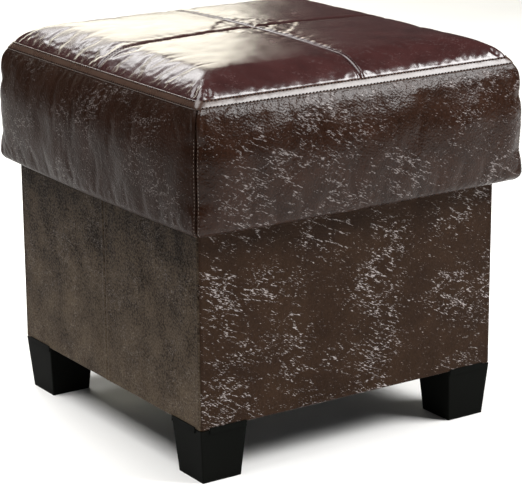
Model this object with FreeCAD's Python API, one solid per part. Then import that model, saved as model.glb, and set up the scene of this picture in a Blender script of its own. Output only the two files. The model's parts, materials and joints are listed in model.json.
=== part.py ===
"""Storage ottoman: an upholstered box on four moulded feet, with a padded lid on two butt hinges.

Millimetres, +Z up. The origin is on the floor, under the centre of the lid. The front faces -Y and
the hinges are at the back, on +Y. Every sub-part is written to parts/NODE.step.
"""
import FreeCAD
import Part
import math
import os

from FreeCAD import Vector

# ---------------------------------------------------------------- driving dimensions
# box, measured over its cover
box_width = 385.0
box_depth = 385.0
rim_height = 275.6            # floor to the top of the rim
lid_set_forward = 8.0         # the lid's centre lies this far in front of the box's centre

# boards and sheets
board = 12.0                  # particle board of the four walls
floor_board = 12.0            # board of the storage floor
cover = 1.2                   # coated fabric, everywhere
lining = 0.8                  # non-woven lining of the storage
floor_pad = 3.0               # lined card that lies on the storage floor
dust_cloth = 0.5              # thin black cloth under the box and under the lid
bottom_tuck = 35.0            # cover folded under the box
inner_drop = 30.0             # cover folded down inside the rim
lining_height = 182.0
lining_play = 0.5             # floor pad to lining
dust_margin = 12.0            # box edge to dust cloth
cloth_play = 1.0              # dust cloth to a foot

# hinge rail, a batten inside the back wall
rail_thickness = 18.0
rail_height = 30.0

# feet
foot_height = 60.0
foot_top = 58.0
foot_bottom = 48.0
foot_wall = 3.0
foot_rib = 2.0
foot_edge_radius = 1.5
lip_thickness = 1.0           # the foot's collar stands this proud of the box
lip_height = 2.5              # and laps this far up over its bottom edge
collar_height = 4.0
lip_corner_gap = 11.0         # the collar stops this far from the box's corner seam
boss_radius = 9.5

# fasteners
bolt_radius = 3.0
bolt_head_radius = 6.0
bolt_length = 30.0
insert_radius = 4.5           # threaded insert in a foot's boss
insert_length = 12.0
bolt_end_room = 3.0           # below the bolt, in the boss
screw_play = 0.05             # radial room round every screw, bolt and insert
wood_screw_radius = 1.9
wood_screw_head_radius = 3.8
corner_screw_length = 38.0
floor_screw_length = 34.0
rail_screw_length = 26.0
hinge_screw_radius = 1.5
hinge_screw_head_radius = 3.0
hinge_screw_length = 11.0
screws_per_edge = 3
edge_screw_margin = 45.0
staple_crown = 10.0
staple_leg = 7.0
staple_wire = 0.6
staples_per_side = 6

# lid
lid_width = 444.0
lid_depth = 444.0
lid_gap = 0.4                 # rim to the lid's underside
lid_band = 133.0              # lid's underside to the top seam
lid_edge_radius = 12.0        # round bottom edge of the padding
lid_corner_radius = 30.0
lean_radius = 100.0           # the band leans in towards the seam on this radius
shoulder_radius = 60.0        # and the top goes on from there on this one
seam_lean = math.degrees(math.asin(0.6))
crown_rise = 4.0
lid_panel = 12.0              # plywood
lid_panel_inset = 14.0        # band to the edge of the plywood
foam_play = 0.3               # padding to its cover
lid_tuck = 65.0               # cover folded under the lid
lid_cloth_overlap = 8.0

# hinges
leaf_length = 60.0
leaf_depth = 28.0             # axis to the leaf's free edge
leaf = 1.2
knuckle_radius = 2.5
pin_radius = 1.25
pin_running_play = 0.05
pin_stub = 0.8
knuckles = 5
knuckle_play = 0.3
knuckle_clearance = 0.3       # lid's underside to the knuckles
hinge_stand_off = 0.4         # back of the box to the knuckles
hinge_spacing = 220.0         # centre to centre
mortise_play = 0.5
screw_row_near = 10.0         # axis to the outer two screws of a leaf
screw_row_far = 21.0          # and to the middle one
leaf_screw_spacing = 40.0

# ---------------------------------------------------------------- places that follow from them
x_face = box_width / 2
y_front = lid_set_forward - box_depth / 2
y_back = lid_set_forward + box_depth / 2
x_wall = x_face - cover                      # outer face of the side boards
x_inner = x_wall - board                     # their inner face
y_front_inner = y_front + cover + board
y_back_inner = y_back - cover - board
rim_width = cover + board + cover
y_rail = y_back_inner - rail_thickness       # front face of the hinge rail
z_board = foot_height + cover
z_board_top = rim_height - cover
z_floor = z_board + floor_board
x_lining = x_inner - cover
y_lining_front = y_front_inner + cover
y_lining_back = y_rail - cover
z_lid = rim_height + lid_gap                 # lid's underside
x_lid = lid_width / 2
y_lid = lid_depth / 2
z_seam = z_lid + lid_band
lean = math.radians(seam_lean)
y_axis = y_back + hinge_stand_off + knuckle_radius
z_axis = z_lid - knuckle_clearance - knuckle_radius
foot_centres = [
    (side * (x_face - foot_top / 2), y, side, end)
    for side in (-1, 1)
    for y, end in ((y_front + foot_top / 2, -1), (y_back - foot_top / 2, 1))
]
side_names = {-1: "left", 1: "right"}
end_names = {-1: "front", 1: "back"}


# ---------------------------------------------------------------- helpers
def block(x0, x1, y0, y1, z0, z1):
    """A box between two corners."""
    return Part.makeBox(x1 - x0, y1 - y0, z1 - z0, Vector(x0, y0, z0))


def rod(radius, start, direction, length):
    """A round bar from start along direction."""
    return Part.makeCylinder(radius, length, Vector(*start), Vector(*direction))


def prism(points, z0, z1):
    """A plan outline raised from z0 to z1."""
    corners = [Vector(x, y, z0) for x, y in points]
    outline = Part.makePolygon(corners + corners[:1])
    return Part.Face(outline).extrude(Vector(0, 0, z1 - z0))


def square(x, y, half, z):
    """A square wire centred on x, y."""
    corners = [(-1, -1), (1, -1), (1, 1), (-1, 1)]
    points = [Vector(x + half * a, y + half * b, z) for a, b in corners]
    return Part.makePolygon(points + points[:1])


def joined(shapes):
    """One solid out of several that touch or overlap."""
    first, *rest = shapes
    return first.fuse(rest).removeSplitter() if rest else first


def screw(radius, head_radius, length, head_at, direction, play=0.0):
    """A countersunk wood screw: head_at is the middle of the head's flat face. With play, its hole."""
    start, axis = Vector(*head_at), Vector(*direction)
    cone = Part.makeCone(head_radius + play, radius + play, head_radius - radius, start, axis)
    shank = Part.makeCylinder(radius + play, length - radius, start, axis)
    tip_start = start + axis * (length - radius)
    tip = Part.makeCone(radius + play, 0.3, radius + play, tip_start, axis)
    return joined([cone, shank, tip])


def spread(count, low, high):
    """count places, evenly spaced from low to high."""
    return [low + (high - low) * i / (count - 1) for i in range(count)]


def staple(x, y, z, along, up):
    """A staple with its crown below z and its legs going up into the wood."""
    half, wire = staple_crown / 2, staple_wire
    ax, ay = (half, wire / 2) if along == "x" else (wire / 2, half)
    crown = block(x - ax, x + ax, y - ay, y + ay, z - wire, z)
    legs = []
    for end in (-1, 1):
        px = x + end * (half - wire / 2) if along == "x" else x
        py = y if along == "x" else y + end * (half - wire / 2)
        legs.append(block(px - wire / 2, px + wire / 2, py - wire / 2, py + wire / 2, z - wire, z + up))
    return joined([crown] + legs)


def write(name, shape):
    """Writes one sub-part, checked, as parts/NAME.step."""
    if isinstance(shape, list):
        shape = Part.makeCompound(shape)
    for solid in shape.Solids:
        if not solid.isValid() or solid.Volume <= 0:
            raise ValueError(name + " has a solid that is not valid")
    if not shape.Solids:
        raise ValueError(name + " has no solid")
    kept = shape.Solids[0] if len(shape.Solids) == 1 else Part.makeCompound(shape.Solids)
    kept.exportStep(os.path.join("parts", name + ".step"))
    written.append((name, len(shape.Solids), shape.Volume))


# ---------------------------------------------------------------- fasteners and their holes
def corner_screws(play=0.0):
    """Screws through the front and back boards into the ends of the side boards."""
    made = []
    heights = spread(screws_per_edge, z_board + edge_screw_margin, z_board_top - edge_screw_margin)
    for side in (-1, 1):
        x = side * (x_inner + board / 2)
        for z in heights:
            for y, way in ((y_front + cover, 1), (y_back - cover, -1)):
                made.append(screw(wood_screw_radius, wood_screw_head_radius, corner_screw_length,
                                  (x, y, z), (0, way, 0), play))
    return made


def floor_screws(play=0.0):
    """Screws through the four walls into the edges of the floor board."""
    made = []
    z = z_board + floor_board / 2
    for x in spread(screws_per_edge, edge_screw_margin - x_inner, x_inner - edge_screw_margin):
        for y, way in ((y_front + cover, 1), (y_back - cover, -1)):
            made.append(screw(wood_screw_radius, wood_screw_head_radius, floor_screw_length,
                              (x, y, z), (0, way, 0), play))
    low, high = y_front_inner + edge_screw_margin, y_back_inner - edge_screw_margin
    for y in spread(screws_per_edge, low, high):
        for side in (-1, 1):
            made.append(screw(wood_screw_radius, wood_screw_head_radius, floor_screw_length,
                              (side * x_wall, y, z), (-side, 0, 0), play))
    return made


def rail_screws(play=0.0):
    """Screws that hold the hinge rail to the back board."""
    z = z_board_top - rail_height / 2
    edge = x_inner - edge_screw_margin
    return [screw(wood_screw_radius, wood_screw_head_radius, rail_screw_length,
                  (x, y_rail, z), (0, 1, 0), play) for x in spread(screws_per_edge, -edge, edge)]


def hinge_centres():
    """Name and x of each hinge."""
    return [(side_names[side], side * hinge_spacing / 2) for side in (-1, 1)]


def leaf_screws(x, upward, play=0.0):
    """The three screws of a leaf: up into the lid, or down into the back board and the rail."""
    z = z_lid - leaf if upward else z_axis - knuckle_radius + leaf
    spots = [(x - leaf_screw_spacing / 2, screw_row_near), (x + leaf_screw_spacing / 2, screw_row_near),
             (x, screw_row_far)]
    return [screw(hinge_screw_radius, hinge_screw_head_radius, hinge_screw_length,
                  (px, y_axis - row, z), (0, 0, 1 if upward else -1), play) for px, row in spots]


def foot_bolt(x, y, play=0.0):
    """The bolt that goes down through the floor board into a foot, or with play its hole."""
    return screw(bolt_radius, bolt_head_radius, bolt_length, (x, y, z_floor), (0, 0, -1), play)


def foot_insert(x, y, play=0.0):
    """The threaded insert in the top of a foot's boss, or with play the pocket that takes it."""
    z = foot_height - insert_length
    barrel = rod(insert_radius + play, (x, y, z), (0, 0, 1), insert_length)
    if play:
        return barrel
    return barrel.cut(rod(bolt_radius + screw_play, (x, y, z), (0, 0, 1), insert_length))


# ---------------------------------------------------------------- box
def mortises():
    """Pockets in the top of the back wall that take the lower leaves of the hinges."""
    half = leaf_length / 2 + mortise_play
    return [block(x - half, x + half, y_axis - leaf_depth - mortise_play, y_back + cover,
                  z_axis - knuckle_radius, rim_height + cover) for _, x in hinge_centres()]


def bolt_holes():
    """Holes for the foot bolts, through the floor board and the folded cover."""
    return [foot_bolt(x, y, screw_play) for x, y, _, _ in foot_centres]


def walls():
    """The four boards of the box, and its floor."""
    holes = corner_screws(screw_play) + floor_screws(screw_play) + rail_screws(screw_play)
    holes += [h for _, x in hinge_centres() for h in leaf_screws(x, False, screw_play)]
    front = block(-x_wall, x_wall, y_front + cover, y_front_inner, z_board, z_board_top)
    back = block(-x_wall, x_wall, y_back_inner, y_back - cover, z_board, z_board_top)
    side = block(x_inner, x_wall, y_front_inner, y_back_inner, z_board, z_board_top)
    other = block(-x_wall, -x_inner, y_front_inner, y_back_inner, z_board, z_board_top)
    base = block(-x_inner, x_inner, y_front_inner, y_back_inner, z_board, z_floor)
    write("front_board", front.cut(holes))
    write("back_board", back.cut(holes + mortises()))
    write("right_board", side.cut(holes))
    write("left_board", other.cut(holes))
    write("floor_board", base.cut(holes + bolt_holes()))
    rail = block(-x_lining, x_lining, y_rail, y_back_inner, z_board_top - rail_height, z_board_top)
    write("hinge_rail", rail.cut(holes + mortises()))


def cover_upper(length, low, high, width):
    """Face of the cover, its fold over the rim and down inside, along x, its outer face at y = 0."""
    z0, z1 = foot_height, rim_height
    face = block(low, high, 0, cover, z0, z1)
    fold = block(low, high, 0, width, z1 - cover, z1)
    drop = block(low, high, width - cover, width, z1 - inner_drop, z1)
    end = length / 2
    plan = [(-end, 0), (end, 0), (end - rim_width, rim_width), (end - rim_width, width + 1),
            (rim_width - end, width + 1), (rim_width - end, rim_width)]
    return joined([face, fold, drop]).common(prism(plan, z0, z1))


def cover_lower(length, low, high):
    """The part of the cover that is folded under the box, mitred at the corners."""
    end = length / 2
    tuck = block(low, high, 0, bottom_tuck, foot_height, foot_height + cover)
    plan = [(-end, 0), (end, 0), (end - bottom_tuck, bottom_tuck), (bottom_tuck - end, bottom_tuck)]
    return tuck.common(prism(plan, foot_height, foot_height + cover))


def cover_panel(length, low, high, width):
    """One sewn panel of the box's cover, in its own frame."""
    return joined([cover_upper(length, low, high, width), cover_lower(length, low, high)])


def placed(shape, x, y, turn):
    """shape turned about Z, then moved to x, y."""
    moved = shape.copy()
    moved.rotate(Vector(0, 0, 0), Vector(0, 0, 1), turn)
    moved.translate(Vector(x, y, 0))
    return moved


def box_cover():
    """Six panels: front, back, and two to each side, which meet in an upright seam."""
    half_w, half_d = box_width / 2, box_depth / 2
    cuts = bolt_holes()
    front = placed(cover_panel(box_width, -half_w, half_w, rim_width), 0, y_front, 0)
    write("cover_front", front.cut(cuts))
    back_width = rim_width + rail_thickness
    back = placed(cover_panel(box_width, -half_w, half_w, back_width), 0, y_back, 180)
    screws = [h for _, x in hinge_centres() for h in leaf_screws(x, False, screw_play)]
    write("cover_back", back.cut(cuts + mortises() + screws))
    # turned by 90 degrees the panel faces +X and its own +x runs along +Y
    ends = {"front": (-half_d, 0.0), "rear": (0.0, half_d)}
    for name, (low, high) in ends.items():
        right = cover_panel(box_depth, low, high, rim_width)
        write("cover_right_" + name, placed(right, x_face, lid_set_forward, 90).cut(cuts + [back_clear()]))
        left = cover_panel(box_depth, -high, -low, rim_width)
        write("cover_left_" + name, placed(left, -x_face, lid_set_forward, -90).cut(cuts + [back_clear()]))


def back_clear():
    """Room for the end of the back cover's inner fold, which laps over the side covers' folds."""
    return block(-x_inner, x_inner, y_lining_back, y_rail, rim_height - inner_drop, z_board_top)


def storage_lining():
    """Cloth walls inside the box, hung from the folded cover, and the loose pad on its floor."""
    z0, z1 = z_floor, z_floor + lining_height
    inside = x_lining - lining
    write("lining_left", block(-x_lining, -inside, y_lining_front, y_lining_back, z0, z1))
    write("lining_right", block(inside, x_lining, y_lining_front, y_lining_back, z0, z1))
    write("lining_front", block(-inside, inside, y_lining_front, y_lining_front + lining, z0, z1))
    write("lining_back", block(-inside, inside, y_lining_back - lining, y_lining_back, z0, z1))
    play = lining + lining_play
    write("storage_floor_pad", block(-x_lining + play, x_lining - play, y_lining_front + play,
                                     y_lining_back - play, z_floor, z_floor + floor_pad))


def dust_cover():
    """Thin cloth under the box, cut out round the feet, and the staples that hold it."""
    x, y0, y1 = x_face - dust_margin, y_front + dust_margin, y_back - dust_margin
    cloth = block(-x, x, y0, y1, foot_height - dust_cloth, foot_height)
    corners = []
    for cx, cy, _, _ in foot_centres:
        half = foot_top / 2 + cloth_play
        corners.append(block(cx - half, cx + half, cy - half, cy + half, 0, z_board))
    write("box_dust_cover", cloth.cut(corners))
    reach = foot_top + staple_crown
    margin = dust_margin + 8.0
    z = foot_height - dust_cloth
    made = []
    for px in spread(staples_per_side, reach - x_face, x_face - reach):
        made += [staple(px, y_front + margin, z, "x", staple_leg), staple(px, y_back - margin, z, "x", staple_leg)]
    for py in spread(staples_per_side, y_front + reach, y_back - reach):
        made += [staple(-x_face + margin, py, z, "y", staple_leg), staple(x_face - margin, py, z, "y", staple_leg)]
    write("box_staples", made)


# ---------------------------------------------------------------- feet
def taper(x, y, low, high, inset):
    """The foot's tapering block between two heights, inset all round."""
    def half(z):
        return (foot_bottom + (foot_top - foot_bottom) * z / foot_height) / 2 - inset
    return Part.makeLoft([square(x, y, half(low), low), square(x, y, half(high), high)], True, True)


def foot(x, y, side, end):
    """A moulded foot: hollow from above, ribbed, with a boss for its insert and a collar at the top."""
    shell = taper(x, y, 0, foot_height, 0)
    upright = [e for e in shell.Edges if abs(e.tangentAt(e.FirstParameter).z) > 0.5]
    shell = shell.makeFillet(foot_edge_radius, upright)
    outside = shell.copy()
    shell = shell.cut(taper(x, y, foot_wall, foot_height, foot_wall))
    boss = rod(boss_radius, (x, y, 0), (0, 0, 1), foot_height)
    ribs = [block(x - foot_top, x + foot_top, y - foot_rib / 2, y + foot_rib / 2, 1, foot_height - 1),
            block(x - foot_rib / 2, x + foot_rib / 2, y - foot_top, y + foot_top, 1, foot_height - 1)]
    body = joined([shell, boss] + [r.common(outside) for r in ribs] + collar(x, y, side, end))
    bore_end = z_floor - bolt_length - bolt_end_room
    bore = rod(bolt_radius + screw_play, (x, y, bore_end), (0, 0, 1), foot_height)
    return body.cut([bore, foot_insert(x, y, screw_play)])


def collar(x, y, side, end):
    """Two thin lips on the outer sides of a foot, which lap up over the bottom edge of the box."""
    fx, fy = x + side * foot_top / 2, y + end * foot_top / 2      # the box's faces
    z0, z1 = foot_height - collar_height, foot_height + lip_height
    made = []
    for axis in "xy":
        near, far = lip_corner_gap, foot_top - foot_edge_radius
        if axis == "x":
            along = sorted((fy - end * near, fy - end * far))
            proud = sorted((fx, fx + side * lip_thickness))
            root = sorted((fx - side * foot_wall / 2, fx + side * lip_thickness))
            made.append(block(*root, *along, z0, foot_height))
            made.append(block(*proud, *along, z0, z1))
        else:
            along = sorted((fx - side * near, fx - side * far))
            proud = sorted((fy, fy + end * lip_thickness))
            root = sorted((fy - end * foot_wall / 2, fy + end * lip_thickness))
            made.append(block(*along, *root, z0, foot_height))
            made.append(block(*along, *proud, z0, z1))
    return made


def feet():
    for x, y, side, end in foot_centres:
        write("foot_%s_%s" % (end_names[end], side_names[side]), foot(x, y, side, end))
    write("foot_bolts", [foot_bolt(x, y) for x, y, _, _ in foot_centres])
    write("foot_inserts", [foot_insert(x, y) for x, y, _, _ in foot_centres])


# ---------------------------------------------------------------- lid
def lid_section(half, inset):
    """Cross-section of the padded lid, in the XZ plane, taken in by inset all round."""
    edge = half - inset
    z0 = z_lid + inset
    round_end = half - lid_edge_radius
    z_round = z_lid + lid_edge_radius
    z_lean = z_seam - lean_radius * math.sin(lean)
    r1, r2 = lean_radius - inset, shoulder_radius - inset
    cx1, cz1 = half - lean_radius, z_lean
    seam = half - lean_radius * (1 - math.cos(lean))
    cx2 = seam - shoulder_radius * math.cos(lean)
    cz2 = z_seam - shoulder_radius * math.sin(lean)
    small = lid_edge_radius - inset

    def at(cx, cz, radius, angle):
        return Vector(cx + radius * math.cos(angle), 0, cz + radius * math.sin(angle))

    top = at(cx2, cz2, r2, math.pi / 2)
    crown = Vector(0, 0, top.z + crown_rise)
    right = [
        Part.LineSegment(Vector(0, 0, z0), Vector(round_end, 0, z0)),
        Part.Arc(Vector(round_end, 0, z0), at(round_end, z_round, small, -math.pi / 4), Vector(edge, 0, z_round)),
        Part.LineSegment(Vector(edge, 0, z_round), Vector(edge, 0, z_lean)),
        Part.Arc(Vector(edge, 0, z_lean), at(cx1, cz1, r1, lean / 2), at(cx1, cz1, r1, lean)),
        Part.Arc(at(cx2, cz2, r2, lean), at(cx2, cz2, r2, (lean + math.pi / 2) / 2), top),
    ]
    rise = Part.Arc(top, Vector(top.x / 2, 0, top.z + crown_rise * 0.75), crown)
    halves = [c.toShape() for c in right + [rise]]
    halves += [e.mirror(Vector(0, 0, 0), Vector(1, 0, 0)) for e in halves]
    return Part.Face(Part.Wire(Part.sortEdges(halves)[0]))


def lid_form(inset):
    """The padded lid's whole outer form, or a smaller one inside it."""
    across = lid_section(x_lid, inset)
    across.translate(Vector(0, -y_lid, 0))
    across = across.extrude(Vector(0, 2 * y_lid, 0))
    along = lid_section(y_lid, inset)
    along.rotate(Vector(0, 0, 0), Vector(0, 0, 1), 90)
    along.translate(Vector(-x_lid, 0, 0))
    along = along.extrude(Vector(2 * x_lid, 0, 0))
    pillow = across.common(along)
    x, y = x_lid - inset, y_lid - inset
    post = block(-x, x, -y, y, z_lid - 1, z_seam + shoulder_radius)
    upright = [e for e in post.Edges if abs(e.tangentAt(e.FirstParameter).z) > 0.5]
    return pillow.common(post.makeFillet(lid_corner_radius - inset, upright))


def lid_parts():
    """Board, padding and sewn cover of the lid."""
    outer, inner = lid_form(0.0), lid_form(cover)
    big = 2 * max(lid_width, lid_depth)
    x_panel, y_panel = x_lid - lid_panel_inset, y_lid - lid_panel_inset
    z0 = z_lid + cover
    panel = block(-x_panel, x_panel, -y_panel, y_panel, z0, z0 + lid_panel)
    upright = [e for e in panel.Edges if abs(e.tangentAt(e.FirstParameter).z) > 0.5]
    panel = panel.makeFillet(lid_corner_radius - lid_panel_inset, upright)
    screws = [h for _, x in hinge_centres() for h in leaf_screws(x, True, screw_play)]
    write("lid_board", panel.cut(screws))
    write("lid_foam", lid_form(cover + foam_play).cut(panel))
    skin = outer.cut(inner)
    top = skin.common(block(-big, big, -big, big, z_seam, z_seam + big))
    side = skin.common(block(-big, big, -big, big, z_lid - 1, z_seam))
    window = block(-x_lid + lid_tuck, x_lid - lid_tuck, -y_lid + lid_tuck, y_lid - lid_tuck,
                   z_lid - 1, z_lid + cover + 1)
    side = side.cut([window] + screws)
    for sx in (-1, 1):
        for sy in (-1, 1):
            corner = block(*sorted((0, sx * big)), *sorted((0, sy * big)), z_lid, z_seam + big)
            write("lid_top_%s_%s" % (end_names[sy], side_names[sx]), top.common(corner))
    reach = big / 2
    wedges = {
        "front": [(0, 0), (-reach, -reach), (reach, -reach)],
        "right": [(0, 0), (reach, -reach), (reach, reach)],
        "back": [(0, 0), (reach, reach), (-reach, reach)],
        "left": [(0, 0), (-reach, reach), (-reach, -reach)],
    }
    for name, plan in wedges.items():
        write("lid_band_" + name, side.common(prism(plan, z_lid - 1, z_seam + 1)))


def lid_underside():
    """Thin cloth over the lid's board, and the staples round its edge."""
    x = x_lid - lid_tuck + lid_cloth_overlap
    y = y_lid - lid_tuck + lid_cloth_overlap
    write("lid_dust_cover", block(-x, x, -y, y, z_lid - dust_cloth, z_lid))
    made = []
    inside = lid_cloth_overlap / 2
    z = z_lid - dust_cloth
    for p in spread(staples_per_side, 3 * staple_crown - x, x - 3 * staple_crown):
        made += [staple(p, inside - y, z, "x", staple_leg), staple(p, y - inside, z, "x", staple_leg)]
    for p in spread(staples_per_side, 3 * staple_crown - y, y - 3 * staple_crown):
        made += [staple(inside - x, p, z, "y", staple_leg), staple(x - inside, p, z, "y", staple_leg)]
    write("lid_staples", made)


# ---------------------------------------------------------------- hinges
def hinge_leaf(x, upper):
    """One leaf with its knuckles. The lower leaf has the odd ones and holds the pin."""
    z = z_lid - leaf if upper else z_axis - knuckle_radius
    x0 = x - leaf_length / 2
    plate = block(x0, x0 + leaf_length, y_axis - leaf_depth, y_axis, z, z + leaf)
    pitch = leaf_length / knuckles
    bore = pin_radius + (pin_running_play if upper else 0.0)
    # take the plate back beside the other leaf's knuckles, then add this leaf's own
    gaps, barrels = [], []
    for i in range(knuckles):
        a, b = x0 + i * pitch, x0 + (i + 1) * pitch
        if (i % 2 == 1) == upper:
            barrels.append(rod(knuckle_radius, (a + knuckle_play / 2, y_axis, z_axis), (1, 0, 0),
                               pitch - knuckle_play))
        else:
            gaps.append(block(a - knuckle_play / 2, b + knuckle_play / 2, y_axis - knuckle_radius - knuckle_play,
                              y_axis + 1, z - 1, z + leaf + 1))
    body = joined([plate.cut(gaps)] + barrels)
    return body.cut([rod(bore, (x0 - 1, y_axis, z_axis), (1, 0, 0), leaf_length + 2)]
                    + leaf_screws(x, upper, screw_play))


def hinges():
    """Two butt hinges: a leaf let into the back wall, a leaf under the lid, a pin and their screws."""
    for name, x in hinge_centres():
        write("hinge_%s_box_leaf" % name, hinge_leaf(x, False))
        write("hinge_%s_lid_leaf" % name, hinge_leaf(x, True))
        start = (x - leaf_length / 2 - pin_stub, y_axis, z_axis)
        write("hinge_%s_pin" % name, rod(pin_radius, start, (1, 0, 0), leaf_length + 2 * pin_stub))
        write("hinge_%s_box_screws" % name, leaf_screws(x, False))
        write("hinge_%s_lid_screws" % name, leaf_screws(x, True))


written = []
os.makedirs("parts", exist_ok=True)
walls()
write("corner_screws", corner_screws())
write("floor_screws", floor_screws())
write("rail_screws", rail_screws())
box_cover()
storage_lining()
dust_cover()
feet()
lid_parts()
lid_underside()
hinges()
for name, solids, volume in written:
    print("%-28s %3d solid(s) %12.1f mm3" % (name, solids, volume))
print(len(written), "nodes")
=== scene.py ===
"""Looks of the storage ottoman: sewn and padded cover, stitching, lining, wood, feet, hinges and studio."""
import json
import math

import bmesh
import bpy
import numpy as np
from mathutils import Matrix, Vector


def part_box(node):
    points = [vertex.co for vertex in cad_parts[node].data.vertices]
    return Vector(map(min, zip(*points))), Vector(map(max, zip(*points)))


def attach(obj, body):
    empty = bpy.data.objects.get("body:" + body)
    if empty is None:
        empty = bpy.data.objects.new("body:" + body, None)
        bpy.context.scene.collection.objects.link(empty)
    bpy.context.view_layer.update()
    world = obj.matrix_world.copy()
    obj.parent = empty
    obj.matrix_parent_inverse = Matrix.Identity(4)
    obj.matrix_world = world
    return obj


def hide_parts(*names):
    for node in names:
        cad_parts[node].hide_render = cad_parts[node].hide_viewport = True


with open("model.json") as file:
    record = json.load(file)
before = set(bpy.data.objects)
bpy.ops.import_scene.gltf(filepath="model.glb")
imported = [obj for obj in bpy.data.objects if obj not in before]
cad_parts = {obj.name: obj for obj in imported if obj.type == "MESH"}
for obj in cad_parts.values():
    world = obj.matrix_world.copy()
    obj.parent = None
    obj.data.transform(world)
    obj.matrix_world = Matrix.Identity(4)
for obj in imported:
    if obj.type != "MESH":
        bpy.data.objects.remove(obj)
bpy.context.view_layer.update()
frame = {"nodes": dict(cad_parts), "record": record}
MM = 0.001

# ---------------------------------------------------------------- sizes, in millimetres
COVER = 1.2                 # coated fabric
SEAM_TAPE = 10.0            # flat binding over the lid's top seam
SEAM_TAPE_RISE = 0.7
TAPE_MARGIN = 1.5           # from the tape's edge to its row of stitches
STITCH_PITCH = 3.6
THREAD = 0.45               # half the thread's thickness
TOP_ROW = 3.2               # cross seam to each of its rows of stitches
SWELL_LIMIT = 2.2           # most that the simulated cover may move
STITCH_SEGMENTS = 6         # sides of a stitch's section
RIM_DROP = 28.0             # the cover's drop inside the box's rim


def corners(*names):
    """Lowest and highest corner of the named CAD nodes together, in millimetres."""
    boxes = [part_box(n) for n in names]
    low = np.min([np.array(b[0]) for b in boxes], axis=0)
    high = np.max([np.array(b[1]) for b in boxes], axis=0)
    return low / MM, high / MM


BAND_LOW, BAND_HIGH = corners("lid_band_front", "lid_band_back", "lid_band_left", "lid_band_right")
BOX_LOW, BOX_HIGH = corners("cover_front", "cover_back", "cover_left_front", "cover_right_front")
BOARD_HIGH = corners("lid_board")[1]
LID_HALF = (BAND_HIGH[0] - BAND_LOW[0]) / 2
Z_LID = BAND_LOW[2]
Z_SEAM = BAND_HIGH[2]
BOX_HALF = (BOX_HIGH[0] - BOX_LOW[0]) / 2
BOX_Y = (BOX_HIGH[1] + BOX_LOW[1]) / 2
Z_BOX, Z_RIM = BOX_LOW[2], BOX_HIGH[2]

# the lid's outline, from the same radii as the solid padding
LEAN_RADIUS = 100.0
SHOULDER_RADIUS = 60.0
LEAN = math.asin(0.6)
EDGE_RADIUS = 12.0
CROWN = 4.0
TUCK = 62.0
BELLY = 3.0                 # the band draws in this much towards its lower edge


# ---------------------------------------------------------------- number helpers
def smooth(x, low=0.0, high=1.0):
    """0 below low, 1 above high, with a smooth cubic between."""
    t = np.clip((x - low) / (high - low), 0.0, 1.0)
    return t * t * (3.0 - 2.0 * t)


def bump(x, width):
    """Bell curve of the given half width."""
    return np.exp(-(x / width) ** 2)


def graded(length, fine, coarse, zone):
    """Places from 0 to length, fine apart near both ends and coarse apart in the middle."""
    x = np.linspace(0.0, length, 4001)
    inner = np.minimum(x, length - x) - zone
    gap = fine + (coarse - fine) * smooth(inner, 0.0, max(length / 4, 2 * zone))
    count = np.concatenate([[0.0], np.cumsum((1 / gap[1:] + 1 / gap[:-1]) / 2 * np.diff(x))])
    n = int(round(count[-1]))
    return np.interp(np.linspace(0.0, count[-1], n + 1), count, x)


def waves(seed, count, short, long):
    """Directions, phases and weights of a sum of sines whose wavelengths lie from short to long."""
    r = np.random.default_rng(seed)
    direction = r.normal(size=(count, 3))
    direction /= np.linalg.norm(direction, axis=1)[:, None]
    length = np.exp(r.uniform(math.log(short), math.log(long), count))
    return direction * (2 * math.pi / length)[:, None], r.uniform(0, 2 * math.pi, count), length / long


def ripple(points, field):
    """Smooth noise of about unit height: the sum of sines of a waves() field at points (..., 3)."""
    k, phase, weight = field
    value = np.sin(points @ k.T + phase) @ weight
    return value / np.sqrt((weight ** 2).sum() / 2)


def distance(path):
    """Distance along a path of points, starting at 0."""
    return np.concatenate([[0], np.cumsum(np.linalg.norm(np.diff(path, axis=0), axis=1))])


def normals(grid):
    """Unit normals of a grid of points (n, m, 3), along the first difference cross the second."""
    du, dv = np.gradient(grid, axis=0), np.gradient(grid, axis=1)
    n = np.cross(du, dv)
    return n / np.maximum(np.linalg.norm(n, axis=2), 1e-9)[..., None]


# ---------------------------------------------------------------- mesh helpers
def grid_faces(n, m, keep=None):
    """Quads of an n by m grid of vertices, leaving out the cells where keep is False."""
    index = np.arange(n * m).reshape(n, m)
    quads = np.stack([index[:-1, :-1], index[1:, :-1], index[1:, 1:], index[:-1, 1:]], axis=-1)
    return quads.reshape(-1, 4) if keep is None else quads[keep]


def new_piece(name, points, faces, material, smooth_shade=True):
    """A mesh object in metres from points in millimetres."""
    mesh = bpy.data.meshes.new(name)
    mesh.from_pydata((np.asarray(points).reshape(-1, 3) * MM).tolist(), [], np.asarray(faces).tolist())
    mesh.update()
    mesh.polygons.foreach_set("use_smooth", [smooth_shade] * len(mesh.polygons))
    piece = bpy.data.objects.new(name, mesh)
    bpy.context.scene.collection.objects.link(piece)
    mesh.materials.append(material)
    return piece


def clean(piece, merge=0.00001, outward=True):
    """Merges doubles and drops loose vertices, then turns the faces outwards."""
    bm = bmesh.new()
    bm.from_mesh(piece.data)
    bmesh.ops.remove_doubles(bm, verts=bm.verts, dist=merge)
    loose = [v for v in bm.verts if not v.link_faces]
    bmesh.ops.delete(bm, geom=loose, context="VERTS")
    if outward:
        bmesh.ops.recalc_face_normals(bm, faces=bm.faces)
    bm.to_mesh(piece.data)
    bm.free()
    return piece


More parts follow.
